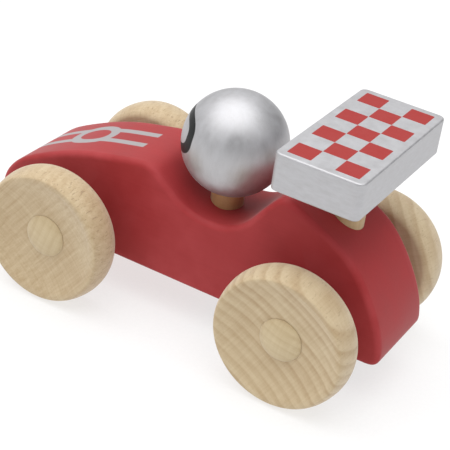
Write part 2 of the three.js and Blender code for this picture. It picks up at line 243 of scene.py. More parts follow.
def piece_from_grid(name, grid, close_rows=False, caps=False):
    """A mesh over a rows x columns grid of points in millimetres, whose columns close on themselves.
    Face (i, j) joins points (i, j), (i, j+1), (i+1, j+1) and (i+1, j). Caps fill the end rows."""
    rows, columns = grid.shape[:2]
    index = np.arange(rows * columns).reshape(rows, columns)
    if close_rows:
        index = np.vstack([index, index[:1]])
    around = np.roll(index, -1, axis=1)
    quads = np.stack([index[:-1], around[:-1], around[1:], index[1:]], axis=-1).reshape(-1, 4)
    faces = quads.tolist()
    if caps:
        faces += [index[0].tolist(), index[-1].tolist()]
    mesh = bpy.data.meshes.new(name)
    mesh.from_pydata((grid.reshape(-1, 3) * MM).tolist(), [], faces)
    finish_mesh(mesh)
    piece = bpy.data.objects.new(name, mesh)
    bpy.context.scene.collection.objects.link(piece)
    return piece


# %% The lathe
def arc(centre, radius, start, end, count=8):
    """Points on a circle: centre + radius * (cos a, sin a), with a from start to end degrees."""
    angle = np.radians(np.linspace(start, end, count))
    return np.array(centre) + radius * np.stack([np.cos(angle), np.sin(angle)], axis=-1)


def turned(name, profile, centre, axis=(0, 1, 0), steps=128, hollow=False):
    """A profile of (radius, height) points carried round an axis through the centre:
    point(i, t) = centre + height_i * axis + radius_i * (cos t * first + sin t * second)."""
    profile = np.array(profile, float)
    axis = np.array(axis, float)
    first = np.array([1.0, 0.0, 0.0])
    second = np.cross(axis, first)
    t = np.linspace(0, 2 * np.pi, steps, endpoint=False)
    ring = np.cos(t)[:, None] * first + np.sin(t)[:, None] * second
    grid = np.array(centre) + profile[:, 1, None, None] * axis + profile[:, 0, None, None] * ring
    return piece_from_grid(name, grid, close_rows=hollow)


# %% The saw and sander
FACE_INSET = 0.25


def inward(outline):
    """Unit vectors that point into an anticlockwise outline: each tangent turned left."""
    tangent = np.roll(outline, -1, axis=0) - np.roll(outline, 1, axis=0)
    tangent /= np.linalg.norm(tangent, axis=1, keepdims=True)
    return np.stack([-tangent[:, 1], tangent[:, 0]], axis=-1)


def sawn(name, outline, low, high, edge, plane, across=9, round_steps=10):
    """An outline given thickness from low to high, with both edges rolled over by a quarter circle.
    At angle a the outline moves inwards by edge * (1 - sin a), and along by edge * (1 - cos a). edge is
    a radius, or one radius for each point. plane names the outline's two axes, such as (0, 2) for a
    side view; the third is the thickness. Each flat face starts FACE_INSET inside its rolled edge."""
    into = inward(outline)
    edge = np.broadcast_to(edge, len(outline))
    a = np.radians(np.linspace(0, 90, round_steps))[:, None]
    inset, along = edge * (1 - np.sin(a)), edge * (1 - np.cos(a))
    share = np.linspace(0, 1, across)[1:-1, None]
    flat = low + edge + (high - low - 2 * edge) * share
    face = edge[None] + FACE_INSET
    insets = np.vstack([face, inset, 0 * flat, inset[::-1], face])
    heights = np.vstack([0 * face + low, low + along, flat, high - along[::-1], 0 * face + high])
    grid = np.zeros((len(heights), len(outline), 3))
    grid[:, :, list(plane)] = outline + into * insets[:, :, None]
    grid[:, :, 3 - sum(plane)] = heights
    return piece_from_grid(name, grid, caps=True)


def bored(piece, *cutters):
    """Cuts the cutters out of a piece, then throws them away."""
    for cutter in cutters:
        cut = piece.modifiers.new("cut", "BOOLEAN")
        cut.object = cutter
        cut.solver = "EXACT"
        bpy.context.view_layer.objects.active = piece
        bpy.ops.object.modifier_apply(modifier=cut.name)
        bpy.data.objects.remove(cutter)
    finish_mesh(piece.data)
    return piece


def box_cutter(low, high):
    """A plain box between two corners, used only to cut."""
    corner = np.array([[0, 0], [1, 0], [1, 1], [0, 1]])
    low, high = np.array(low, float), np.array(high, float)
    grid = np.zeros((2, 4, 3))
    grid[:, :, :2] = low[:2] + corner * (high - low)[:2]
    grid[:, :, 2] = np.array([low[2], high[2]])[:, None]
    return piece_from_grid("cutter", grid, caps=True)


def bar_cutter(radius, low, high, centre, axis):
    """A plain round bar from low to high along an axis through the centre, used only to cut."""
    profile = [(0, low), (radius, low), (radius, high), (0, high)]
    return turned("cutter", profile, centre, axis, steps=64)


# %% Place a finished piece
def stands_for(piece, slot, *nodes):
    """The piece rides on the body of the CAD nodes that it stands for, which are hidden. slot is not
    used.
    """
    bodies = frame["record"]["behaviour"]["bodies"]
    body = next(name for name, members in bodies.items() if nodes[0] in members)
    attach(piece, body)
    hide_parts(*nodes)
    print(piece.name, "rides on", body, "with", len(piece.data.polygons), "faces")
    return piece


# %% [markdown]
# ## The body block
# The real block is sawn from beech 27.5 mm thick with a bandsaw: flat underneath, a long bonnet, a
# scooped cockpit and a humped tail. A row of stations along the side view, joined by a smooth curve,
# is the way a boat or car maker would draw it. The curve is Catmull-Rom, which passes through every
# station, and a light smoothing along its length takes out the changes of bend that would show as
# ripples in the paint.

# %% Side view
NOSE_RADIUS = 5.5
TAIL_RADIUS = 2.5
OUTLINE_SPACING = 0.4
OUTLINE_EASE = 3
STATIONS = np.array([
    [62.6, 22.0], [60.9, 25.7], [57.8, 29.2], [53.9, 31.9], [47.4, 35.3], [40.4, 38.4], [33.5, 40.7],
    [26.7, 42.3], [17.5, 44.1], [12.4, 43.9], [8.3, 41.0], [2.6, 36.8], [-2.5, 34.9], [-7.9, 34.4],
    [-13.5, 35.6], [-18.0, 38.8], [-22.2, 44.4], [-25.6, 48.6], [-28.4, 50.4], [-31.8, 49.4],
    [-36.5, 47.3], [-41.7, 44.9], [-46.0, 42.6], [-49.8, 39.9], [-53.6, 35.8], [-57.2, 30.6],
    [-60.4, 24.6], [-62.3, 19.2],
])


def through(points, steps=14):
    """Catmull-Rom: between p1 and p2 the place at u is half of
    2 p1 + (p2 - p0) u + (2 p0 - 5 p1 + 4 p2 - p3) u^2 + (3 p1 - p0 - 3 p2 + p3) u^3."""
    p = np.vstack([2 * points[0] - points[1], points, 2 * points[-1] - points[-2]])
    p0, p1, p2, p3 = p[:-3, None], p[1:-2, None], p[2:-1, None], p[3:, None]
    u = np.linspace(0, 1, steps, endpoint=False)[None, :, None]
    curve = 2 * p1 + (p2 - p0) * u + (2 * p0 - 5 * p1 + 4 * p2 - p3) * u**2
    curve = (curve + (3 * p1 - p0 - 3 * p2 + p3) * u**3) / 2
    return np.vstack([curve.reshape(-1, 2), points[-1:]])


def even(points, spacing):
    """A closed outline's points again, at equal distances along it."""
    loop = np.vstack([points, points[:1]])
    run = np.concatenate([[0], np.cumsum(np.linalg.norm(np.diff(loop, axis=0), axis=1))])
    at = np.linspace(0, run[-1], int(run[-1] / spacing), endpoint=False)
    return np.stack([np.interp(at, run, loop[:, k]) for k in (0, 1)], axis=-1)


def eased(points, width):
    """Each value round a closed outline averaged with its neighbours, weighted by a bell that wide."""
    bell = np.exp(-0.5 * (np.arange(-3 * width, 3 * width + 1) / width) ** 2)
    bell /= bell.sum()
    shifts = range(-3 * width, 3 * width + 1)
    return sum(weight * np.roll(points, shift, axis=0) for weight, shift in zip(bell, shifts))


def side_view():
    """The body's outline, anticlockwise from the tail's lower corner."""
    bottom, nose, tail = BODY_LOW[2], BODY_HIGH[0], BODY_LOW[0]
    nose_round = arc((nose - NOSE_RADIUS, bottom + NOSE_RADIUS), NOSE_RADIUS, -90, 0, 12)
    tail_round = arc((tail + TAIL_RADIUS, bottom + TAIL_RADIUS), TAIL_RADIUS, 180, 270, 8)
    stations = np.vstack([nose_round[-1:], STATIONS, tail_round[:1]])
    outline = np.vstack([nose_round, through(stations)[1:], tail_round[1:]])
    return eased(even(outline, OUTLINE_SPACING), OUTLINE_EASE)


OUTLINE = side_view()
print("side view", len(OUTLINE), "points", OUTLINE.min(0), OUTLINE.max(0))

# %% [markdown]
# ### Rolled edges
# A sander rounds the block by hand, so the edge isn't the same all the way round. One radius for each
# point of the outline says so more simply than a bevel, whose width is hard to vary.

# %% Rolled edges
EDGE_ROUND = 1.8
EDGE_ROUND_NOSE = 1.3
EDGE_ROUND_BELOW = 1.0
NOSE_STARTS, NOSE_BLEND = 50, 9
FULLY_DOWN = 0.8
EDGE_EASE = 6


def edge_radii(outline):
    """One radius for each outline point: the sander takes most off the top, less round the nose and
    least underneath. It blends by how far forward a point is, and how much it faces down."""
    forward = np.clip((outline[:, 0] - NOSE_STARTS) / NOSE_BLEND, 0, 1)
    down = np.clip(inward(outline)[:, 1] / FULLY_DOWN, 0, 1)
    radii = EDGE_ROUND + (EDGE_ROUND_NOSE - EDGE_ROUND) * forward
    radii += (EDGE_ROUND_BELOW - radii) * down
    return eased(radii, EDGE_EASE)


EDGES = edge_radii(OUTLINE)
print("rolled edges from", EDGES.min().round(2), "to", EDGES.max().round(2), "mm")

# %% [markdown]
# ### Pocket, slots and holes
# The motor drops in from below with its axle already fitted, so the pocket and two slots in the
# flanks are open underneath. The front axle runs in a plain bore, and the two dowels stand in blind
# holes. They are cut from the block as the router and drill cut the real one.

# %% Body block
POCKET_GAP, CASE_GAP = 1.2, 0.4
COVER_GAP, COVER_STEP_GAP = 0.15, 0.1
DOWEL_GAP = 0.05
SLOT_RADIUS = 2.1
BUSH_BORE_SHARE = 0.62
PAST = 1.0
OVERHEAD = 80


def body_block():
    """The sawn block less the motor pocket, the cover's step, the axle slots and the round holes."""
    block = sawn("body_block", OUTLINE, -HALF_WIDTH, HALF_WIDTH, EDGES, plane=(0, 2), across=15)
    case_low, case_high = corners("motor_case_left")
    cover_low, cover_high = corners("motor_cover")
    neck_low, neck_high = corners("driver_neck")
    bush_low, bush_high = corners("front_bush_left")
    below, reach = BODY_LOW[2] - PAST, HALF_WIDTH + PAST
    case_y, cover_y = case_high[1] + CASE_GAP, cover_high[1] + COVER_GAP
    rear, front = AXLE_PLACES["rear"], AXLE_PLACES["front"]
    dowel = (neck_high - neck_low)[0] / 2 + DOWEL_GAP
    bush = (bush_high - bush_low)[0] / 2 * BUSH_BORE_SHARE
    return bored(
        block,
        box_cutter((case_low[0] - POCKET_GAP, -case_y, below),
                   (case_high[0] + POCKET_GAP, case_y, case_high[2] + CASE_GAP)),
        box_cutter((cover_low[0] - COVER_GAP, -cover_y, below),
                   (cover_high[0] + COVER_GAP, cover_y, cover_high[2] + COVER_STEP_GAP)),
        box_cutter((rear[0] - SLOT_RADIUS, -reach, below), (rear[0] + SLOT_RADIUS, reach, rear[2])),
        bar_cutter(SLOT_RADIUS, -reach, reach, rear * (1, 0, 1), (0, 1, 0)),
        bar_cutter(bush, -reach, reach, front * (1, 0, 1), (0, 1, 0)),
        *(bar_cutter(dowel, corners(node)[0][2], OVERHEAD, middle(node) * (1, 1, 0), UP)
          for node in ("driver_neck", "wing_post")),
    )


body = stands_for(body_block(), "red_paint", "body")

# %% [markdown]
# ### Where the paint is thin and the edges catch the light
# Paint wears and draws back on a rolled edge first, and a rolled edge also catches the light. The
# paint's material paints a paler line there that is partly wear and partly painted highlight. A number
# stored at each point of the mesh lets the paint's material find those edges, which bump or colour
# alone can't do.

# %% Edge mask on the body
CHUNK = 4000
FADE_START, FADE_WIDTH = 1.5, 1.1


def mark_edges(piece, outline, half_thickness, edge):
    """Stores how near each point is to a rolled edge: 1 on the roll, falling to 0 over its own width.
    On a block sawn from a side view the roll is where both the flank and the outline are near."""
    mesh = piece.data
    co = np.empty(len(mesh.vertices) * 3, np.float32)
    mesh.vertices.foreach_get("co", co)
    co = co.reshape(-1, 3) / MM
    to_flank = half_thickness - np.abs(co[:, 1])
    gap = np.empty(len(co))
    for start in range(0, len(co), CHUNK):
        part = co[start:start + CHUNK][:, None, [0, 2]] - outline[None]
        gap[start:start + CHUNK] = np.sqrt((part**2).sum(-1)).min(1)
    near = np.clip(FADE_START - np.hypot(to_flank, gap) / (edge * FADE_WIDTH), 0, 1)
    layer = mesh.attributes.new("edge", "FLOAT", "POINT")
    layer.data.foreach_set("value", near.astype(np.float32))
    print(piece.name, "has", int((near > 0.5).sum()), "points on rolled edges")


mark_edges(body, OUTLINE, HALF_WIDTH, EDGE_ROUND)

# %% [markdown]
# ## The driver
# The head is a bought 30 mm beech ball with a blind hole, pushed on a 9.5 mm dowel. On a lathe it is
# half a circle carried round the upright axis, with the hole's wall as the start of the same profile.

# %% Head and neck
HEAD_RADIUS = 15.0
BORE = 4.8
CHAMFER = 0.4
TIP_GAP = 0.1
head_centre = middle("driver_head")
head_centre[2] = corners("driver_head")[1][2] - HEAD_RADIUS


def ball_profile():
    """Up the bore, out along its mouth, and round the ball to the top: (radius, height) points."""
    mouth = np.degrees(np.arccos(BORE / HEAD_RADIUS))
    bore_top = corners("driver_neck")[1][2] - head_centre[2] + TIP_GAP
    sphere = arc((0, 0), HEAD_RADIUS, -mouth, 90, 90)
    return np.vstack([[(0, bore_top), (BORE, bore_top)], sphere])


def dowel_profile(node):
    """A straight dowel with small chamfers at both ends: (radius, height) points."""
    low, high = corners(node)
    radius = (high[0] - low[0]) / 2
    sides = [(radius, z) for z in np.linspace(low[2] + CHAMFER, high[2] - CHAMFER, 12)]
    return [(0, low[2]), (radius - CHAMFER, low[2]), *sides, (radius - CHAMFER, high[2]), (0, high[2])]


head = turned("head_ball", ball_profile(), head_centre, UP, 160)
stands_for(head, "silver_paint", "driver_head")
neck = turned("neck_dowel", dowel_profile("driver_neck"), middle("driver_neck") * (1, 1, 0), UP, 64)
stands_for(neck, "beech", "driver_neck")
post = turned("post_dowel", dowel_profile("wing_post"), middle("wing_post") * (1, 1, 0), UP, 64)
stands_for(post, "beech", "wing_post")

# %% [markdown]
# ## The wing board
# A piece of board just under 11 mm thick, cross-cut and sanded, with its upright corners rounder
# than its long edges. The same sawn function makes it, lying flat: the outline is a rectangle with
# round corners, and the thickness runs upwards.

# %% Wing
WING_CORNER = 2.0
WING_EDGE = 0.55


def round_rectangle(low, high, radius, count=10):
    """A rectangle with quarter-circle corners, anticlockwise."""
    turns = [((high[0] - radius, low[1] + radius), -90), ((high[0] - radius, high[1] - radius), 0),
             ((low[0] + radius, high[1] - radius), 90), ((low[0] + radius, low[1] + radius), 180)]
    return np.vstack([arc(centre, radius, start, start + 90, count) for centre, start in turns])


wing_low, wing_high = corners("wing_board")
wing_outline = even(round_rectangle(wing_low, wing_high, WING_CORNER), 0.35)
wing = sawn("wing_plank", wing_outline, wing_low[2], wing_high[2], WING_EDGE, plane=(0, 1), across=12)
post_top = corners("wing_post")[1][2] + TIP_GAP
bored(wing, bar_cutter(BORE, wing_low[2] - PAST, post_top, middle("wing_post") * (1, 1, 0), UP))
stands_for(wing, "silver_paint", "wing_board")

# %% [markdown]
# ## The wheels
# Each wheel is turned from a slice of beech. The tread is crowned, so it rolls on its middle, and the
# outer face is dished down to a flat seat for the hub cap. From the middle to either edge the tread
# falls as radius = middle - drop * (1 - sqrt(1 - |t| ^ power)). Outwards the drop is small and the
# power low, as a hand gouge leaves it; towards the body it is a fuller, elliptical shoulder. A wide
# round lip leads over into the dish, which is a parabola down to the seat.

# %% Wheel profile
OUTER_DROP, OUTER_POWER = 1.6, 1.54
INNER_DROP, INNER_POWER = 3.0, 2.0
LIP = 3.5
LIP_DEGREES = 27
SEAT_RADIUS = 6.1
SEAT_DEPTH = 2.95
SOCKET_FLOOR = 26.85
AXLE_BORE = 1.55


def tread(inner, outer, radius, count=36):
    """(radius, height) points over the tread, from the inner edge to the outer one."""
    t = np.sin(np.linspace(-np.pi / 2, np.pi / 2, 2 * count + 1))
    drop = np.where(t < 0, INNER_DROP, OUTER_DROP)
    power = np.where(t < 0, INNER_POWER, OUTER_POWER)
    fall = drop * (1 - np.sqrt(1 - np.abs(t) ** power))
    return np.stack([radius - fall, (inner + outer) / 2 + t * (outer - inner) / 2], axis=-1)


def wheel_profile(inner, outer, radius):
    """(radius, height) points from the bore, along the inner face, over the tread and down the dish."""
    crown = tread(inner, outer, radius)
    inner_face = [(r, inner) for r in np.linspace(AXLE_BORE, crown[0, 0], 12)[:-1]]
    lip = arc((crown[-1, 0], outer - LIP), LIP, 90, 90 + LIP_DEGREES, 8)[1:]
    s = np.linspace(0, 1, 28)[1:]
    start, top = lip[-1]
    seat = outer - SEAT_DEPTH
    dish = np.stack([start + (SEAT_RADIUS - start) * s, seat + (top - seat) * (1 - s) ** 2], axis=-1)
    socket = [(BORE, seat), (BORE, SOCKET_FLOOR), (AXLE_BORE, SOCKET_FLOOR)]
    return np.vstack([inner_face, crown, lip, dish, socket])


# %% [markdown]
# ### Caps, sleeves and axles
# A button plug with a low dome is pressed in each wheel and hides the axle's end. A short nylon
# sleeve keeps the wheel off the body. All of them are lathe work, so each is one more profile.

# %% Profiles of the small turned parts
CAP_TENON = 2.3
CAP_LIP = 0.05
CAP_GAP = 0.1
CAP_DOME = 0.65
SLEEVE_ROUND = 0.35


def hub_cap_profile(low, high, radius):
    """(radius, height) points of a button: tenon, flat underside, and a dome whose height falls as
    (1 - s ^ 2) ^ CAP_DOME, with s the share of the radius."""
    seat, tenon = low + CAP_TENON, BORE - CAP_GAP
    s = np.sin(np.linspace(np.pi / 2, 0, 30))
    rise = (high - seat - CAP_LIP) * (1 - s**2) ** CAP_DOME
    dome = np.stack([radius * s, seat + CAP_LIP + rise], axis=-1)
    return np.vstack([[(0, low), (tenon, low), (tenon, seat), (radius - CAP_GAP, seat)], dome])


def tube_profile(inner, outer, low, high):
    """(radius, height) points of a tube whose outer edges are slightly rounded."""
    first = arc((outer - SLEEVE_ROUND, low + SLEEVE_ROUND), SLEEVE_ROUND, -90, 0, 6)
    second = arc((outer - SLEEVE_ROUND, high - SLEEVE_ROUND), SLEEVE_ROUND, 0, 90, 6)
    return np.vstack([[(inner, low)], first, second, [(inner, high)]])


def ends_and_radius(node):
    """How far a turned part's two ends are from the middle plane, the inner one first, and its
    radius."""
    low, high = corners(node)
    return *sorted((abs(low[1]), abs(high[1]))), (high[2] - low[2]) / 2


# %% Wheels, hub caps and sleeves
wheels, hub_caps, sleeves = {}, {}, {}
for end, place in AXLE_PLACES.items():
    for side, sign in SIDES.items():
        hub = place * (1, 0, 1), (0, sign, 0)
        node = f"{end}_wheel_{side}"
        profile = wheel_profile(*ends_and_radius(node))
        wheel = turned(f"{end}_{side}_wheel_turned", profile, *hub, hollow=True)
        wheels[end, side] = stands_for(wheel, "beech", node)
        node = f"{end}_hub_cap_{side}"
        profile = hub_cap_profile(*ends_and_radius(node))
        cap = turned(f"{end}_{side}_hub_cap_turned", profile, *hub, 80)
        hub_caps[end, side] = stands_for(cap, "beech", node)
        node = f"{end}_sleeve_{side}"
        inner, outer, radius = ends_and_radius(node)
        profile = tube_profile(AXLE_BORE, radius, inner, outer)
        sleeve = turned(f"{end}_{side}_sleeve_turned", profile, *hub, 64, hollow=True)
        sleeves[end, side] = stands_for(sleeve, "nylon", node)

# %% Axles
axles = {}
for end, place in AXLE_PLACES.items():
    low, high = corners(f"{end}_axle")
    radius = (high[2] - low[2]) / 2
    rod = [(0, low[1]), (radius - CHAMFER, low[1]), (radius, low[1] + CHAMFER),
           (radius, high[1] - CHAMFER), (radius - CHAMFER, high[1]), (0, high[1])]
    axle = turned(f"{end}_axle_rod", rod, place * (1, 0, 1), (0, 1, 0), 48)
    axles[end] = stands_for(axle, "axle_steel", f"{end}_axle")

# %% [markdown]
# ## Bushes and cover
# Each end of the front bore has a flanged nylon bush. The motor's cover is a moulded plate with round
# corners, let into the underside and held by four countersunk screws.

# %% Front bushes
FLANGE = 1.0
BUSH_BARREL_SHARE = 0.6
bushes = {}
for side, sign in SIDES.items():
    inner, outer, radius = ends_and_radius(f"front_bush_{side}")
    barrel, shoulder = radius * BUSH_BARREL_SHARE, outer - FLANGE
    flange = tube_profile(AXLE_BORE, radius, shoulder, outer)
    profile = np.vstack([[(AXLE_BORE, inner), (barrel, inner), (barrel, shoulder)], flange[1:]])
    place = AXLE_PLACES["front"] * (1, 0, 1)
    bush = turned(f"front_{side}_bush_turned", profile, place, (0, sign, 0), 64, hollow=True)
    bushes[side] = stands_for(bush, "nylon", f"front_bush_{side}")

# %% Motor cover
COVER_CORNER = 2.0
COVER_EDGE = 0.3
cover_low, cover_high = corners("motor_cover")
cover_outline = even(round_rectangle(cover_low, cover_high, COVER_CORNER), 0.5)
cover = sawn("cover_plate", cover_outline, cover_low[2], cover_high[2], COVER_EDGE, plane=(0, 1),
             across=3, round_steps=4)

# %% Cover screws
SINK = 0.12
HEAD_EDGE = 0.12
HEAD_GAP, HEAD_LIP = 0.1, 0.15
CONE_DEPTH = 1.3
SHANK_SHARE, SHANK_GAP = 0.39, 0.2
TIP_LENGTH = 0.6
CROSS_SHARE, CROSS_HALF, CROSS_DEPTH = 0.58, 0.26, 0.55


def screw_profile(low, high, radius):
    """(radius, height) points of a countersunk screw, from its head, which faces down, to its tip."""
    shank = radius * SHANK_SHARE
    edge = arc((radius - HEAD_EDGE, low + HEAD_EDGE), HEAD_EDGE, -90, 0, 4)
    return [(0, low), *edge, (shank, low + CONE_DEPTH), (shank, high - TIP_LENGTH), (0, high)]


def countersink_profile(low, radius):
    """(radius, height) points of the hole that a screw's head and shank drop into."""
    start, end = low - SINK - PAST, cover_high[2] + PAST
    mouth, clearance = radius + HEAD_GAP, radius * SHANK_SHARE + SHANK_GAP
    return [(0, start), (mouth, start), (mouth, low + HEAD_LIP), (clearance, low + CONE_DEPTH),
            (clearance, end), (0, end)]


def cross_cutters(place, low, arm):
    """The two boxes that make a cross recess of a given arm length in a head."""
    x, y = place[:2]
    return [box_cutter((x - across, y - along, low - PAST), (x + across, y + along, low + CROSS_DEPTH))
            for across, along in ((arm, CROSS_HALF), (CROSS_HALF, arm))]


screws = []
for node in [f"cover_screw_{end}_{side}" for end in ("rear", "front") for side in SIDES]:
    low, high = corners(node)
    place = middle(node) * (1, 1, 0)
    radius = (high[0] - low[0]) / 2
    bottom = low[2] + SINK
    bored(cover, turned("cutter", countersink_profile(bottom, radius), place, UP, 48))
    screw = turned(f"{node}_driven", screw_profile(bottom, high[2], radius), place, UP, 48)
    bored(screw, *cross_cutters(place, bottom, radius * CROSS_SHARE))
    screws.append(stands_for(screw, "axle_steel", node))
stands_for(cover, "black_plastic", "motor_cover")

# %% [markdown]
# ## Beech
# Beech is pale pinkish brown and close-grained. Its growth rings show as faint bands whose late wood
# is slightly darker and ends abruptly, and its rays show as short dark flecks. A real fleck is about
# 0.2 mm wide and 1 to 3 mm long; it is drawn slightly coarser here so that it shows, and stronger on
# the treads, which cut the rays lengthwise.
# The material turns Object coordinates to the board's own: X runs along the grain, and the rings are
# planes across Y, tilted a little and bent by slow noise.

# %% Growth rings and rays
BEND = 0.6
LATE_WOOD = (0.15, 0.8)
RING_ENDS = (0.84, 0.98)
WEAKEST_RING = 0.55
RAY_SIZES = {"along": (0.4, 2.5, 2.5), "through": (2.1, 2.1, 0.42)}
RAY_LEVELS = (0.61, 0.68)
FACE_TURNS = (0.6, 0.95)
FACE_SHARE = 0.25


def growth_rings(tree, shifted, ring, bands, tilt):
    """How dark the late wood is: it rises slowly over each ring's width and ends abruptly, and some
    years are stronger than others."""
    slow = streaks(tree, shifted, (0.3, 1.0, 1.0), 2.0, scale=0.09)
    _, y, z = add(tree, "SeparateXYZ", {0: shifted}).node.outputs
    across = add(tree, "Math", {0: z, 1: tilt, 2: y}, operation="MULTIPLY_ADD")
    bent = add(tree, "Math", {0: slow, 1: BEND * ring, 2: across}, operation="MULTIPLY_ADD")
    rings = add(tree, "Math", {0: bent, 1: ring}, operation="DIVIDE")
    phase = add(tree, "Math", {0: rings}, operation="FRACT")
    late = add(tree, "MapRange", {"Value": phase, "From Min": LATE_WOOD[0], "From Max": LATE_WOOD[1]},
               interpolation_type="SMOOTHSTEP")
    ended = add(tree, "MapRange", {"Value": phase, "From Min": RING_ENDS[0], "From Max": RING_ENDS[1],
                                   "To Min": 1.0, "To Max": 0.0})
    band = add(tree, "Math", {0: late, 1: ended}, operation="MULTIPLY")
    year = add(tree, "Math", {0: rings}, operation="FLOOR")
    vigour = add(tree, "TexWhiteNoise", {"W": year}, noise_dimensions="1D")
    uneven = add(tree, "MapRange", {"Value": vigour, "To Min": WEAKEST_RING * bands, "To Max": bands})
    return add(tree, "Math", {0: band, 1: uneven}, operation="MULTIPLY")


def ray_flecks(tree, shifted, rays, depth):
    """Where the rays show, and how dark they are there: less on a wheel's faces, which cut them end
    on, than on its tread, which cuts them lengthwise."""
    flecks = streaks(tree, shifted, RAY_SIZES[rays], 2.0)
    fleck = add(tree, "MapRange", {"Value": flecks, "From Min": RAY_LEVELS[0],
                                   "From Max": RAY_LEVELS[1]})
    facing = add(tree, "SeparateXYZ", {0: add(tree, "TexCoord", output="Normal")}, "Y")
    sideways = add(tree, "Math", {0: facing}, operation="ABSOLUTE")
    shown = add(tree, "MapRange", {"Value": sideways, "From Min": FACE_TURNS[0],
                                   "From Max": FACE_TURNS[1], "To Min": depth,
                                   "To Max": depth * FACE_SHARE})
    return fleck, add(tree, "Math", {0: fleck, 1: shown}, operation="MULTIPLY")


# %% Beech
FIBRE_SIZES = (0.05, 1.5, 1.5)
SAWING_SIZES = (1.7, 0.1, 0.1)
RAY_BROWN = "#7C5B3B"


def beech(name, centre, turn, ring=3.2, bands=0.5, tilt=0.25, seed=0.0, fibres=0.55, sawn_ticks=0.4,
          fleck_depth=0.24, rays="through", tone=("#CDBA98", "#AA8D67")):
    """Sanded beech. turn is the board's rotation in degrees, ring the growth ring's width in
    millimetres, and bands, fibres and sawn_ticks say how strongly the rings, the fibres and the marks
    of the saw across them show. The rays run along the grain or through the board's thickness."""
    material, tree = new_material(name)
    board = add(tree, "Mapping", {
        "Vector": add(tree, "TexCoord", output="Object"),
        "Location": Vector(centre) * MM,
        "Rotation": [np.radians(v) for v in turn],
        "Scale": (MM, MM, MM),
    }, vector_type="TEXTURE")
    offset = (seed, seed * 1.7, seed * 0.6)
    shifted = add(tree, "VectorMath", {0: board, 1: offset}, operation="ADD")
    banded = growth_rings(tree, shifted, ring, bands, tilt)
    fibre = streaks(tree, shifted, FIBRE_SIZES, 4.0, roughness=0.7)
    ticks = streaks(tree, shifted, SAWING_SIZES, 2.0)
    fleck, flecked = ray_flecks(tree, shifted, rays, fleck_depth)
    patchy = add(tree, "TexNoise", {"Vector": shifted, "Scale": 0.12, "Detail": 3.0})
    dark = banded
    for pattern, share in ((fibre, fibres), (ticks, sawn_ticks), (patchy, 0.6)):
        dark = add(tree, "Math", {0: pattern, 1: share, 2: dark}, operation="MULTIPLY_ADD")
    toned = add(tree, "Math", {0: dark, 1: 0.34 + (fibres + sawn_ticks) / 4}, operation="SUBTRACT")
    wood = add(tree, "ValToRGB", {0: toned}, stops=[(0.0, tone[0]), (0.9, tone[1])])
    color = add(tree, "Mix", {"Factor": flecked, 6: wood, 7: linear(RAY_BROWN)}, output=2,
                data_type="RGBA")
    rough = add(tree, "MapRange", {"Value": fibre, "To Min": 0.5, "To Max": 0.76})
    height = add(tree, "Math", {0: fleck, 1: -0.6, 2: fibre}, operation="MULTIPLY_ADD")
    bump = add(tree, "Bump", {"Height": height, "Strength": 0.35, "Distance": 0.06 * MM})
    shader = add(tree, "BsdfPrincipled", {
        "Base Color": color,
        "Roughness": rough,
        "IOR": 1.52,
        "Specular IOR Level": 0.4,
        "Sheen Weight": 0.3,
        "Sheen Roughness": 0.5,
        "Normal": bump,
    })
    add(tree, "OutputMaterial", {"Surface": shader})
    return material


# %% [markdown]
# Each wheel is cut from its own board, so each has its own grain direction and ring width. The rear
# left wheel shows broad bands; the front left one was cut the other way and shows fine lines.

# %% Put beech on the turned pieces
FINE = dict(fibres=0.95, sawn_ticks=0.5, fleck_depth=0.42)
BOARDS = {
    ("rear", "left"): dict(turn=-32, ring=3.0, bands=0.45, tilt=0.1, seed=3.0),
    ("front", "left"): dict(turn=-128, ring=2.6, bands=0.16, tilt=0.15, seed=11.0, **FINE),
    ("rear", "right"): dict(turn=-64, ring=3.6, bands=0.4, tilt=0.6, seed=23.0),
    ("front", "right"): dict(FINE, turn=-150, ring=2.4, bands=0.2, tilt=0.3, seed=37.0, fibres=0.8),
}
WHEEL_MIDDLE = 27
CAP_TONE = ("#CDBB97", "#B39A73")
for (end, side), board in BOARDS.items():
    centre = AXLE_PLACES[end] * (1, 0, 1) + (0, SIDES[side] * WHEEL_MIDDLE, 0)
    turn = board["turn"]
    wheel_beech = beech(f"beech_{end}_{side}_wheel", centre, **dict(board, turn=(90, turn, 0)))
    wheels[end, side].data.materials.append(wheel_beech)
    cap_beech = beech(f"beech_{end}_{side}_cap", centre, (90, turn + 20, 0), ring=2.4, bands=0.25,
                      tilt=0.3, seed=board["seed"] + 5, fleck_depth=0.15, tone=CAP_TONE)
    hub_caps[end, side].data.materials.append(cap_beech)
# Both dowels are the same beech. The neck's tone is darker and more orange than the post's because it
# carries painted shade and painted red bounce light from the body.
DOWELS = ((neck, 51.0, ("#BF9667", "#A47848")), (post, 63.0, ("#C6AD84", "#AB8C61")))
for piece, seed, tone in DOWELS:
    dowel_beech = beech(f"beech_{piece.name}", middle("driver_neck"), (0, -90, 0), ring=1.8, bands=0.2,
                        tilt=0.3, seed=seed, rays="along", tone=tone)
    piece.data.materials.append(dowel_beech)
print("beech on", len(BOARDS) * 2 + len(DOWELS), "pieces")
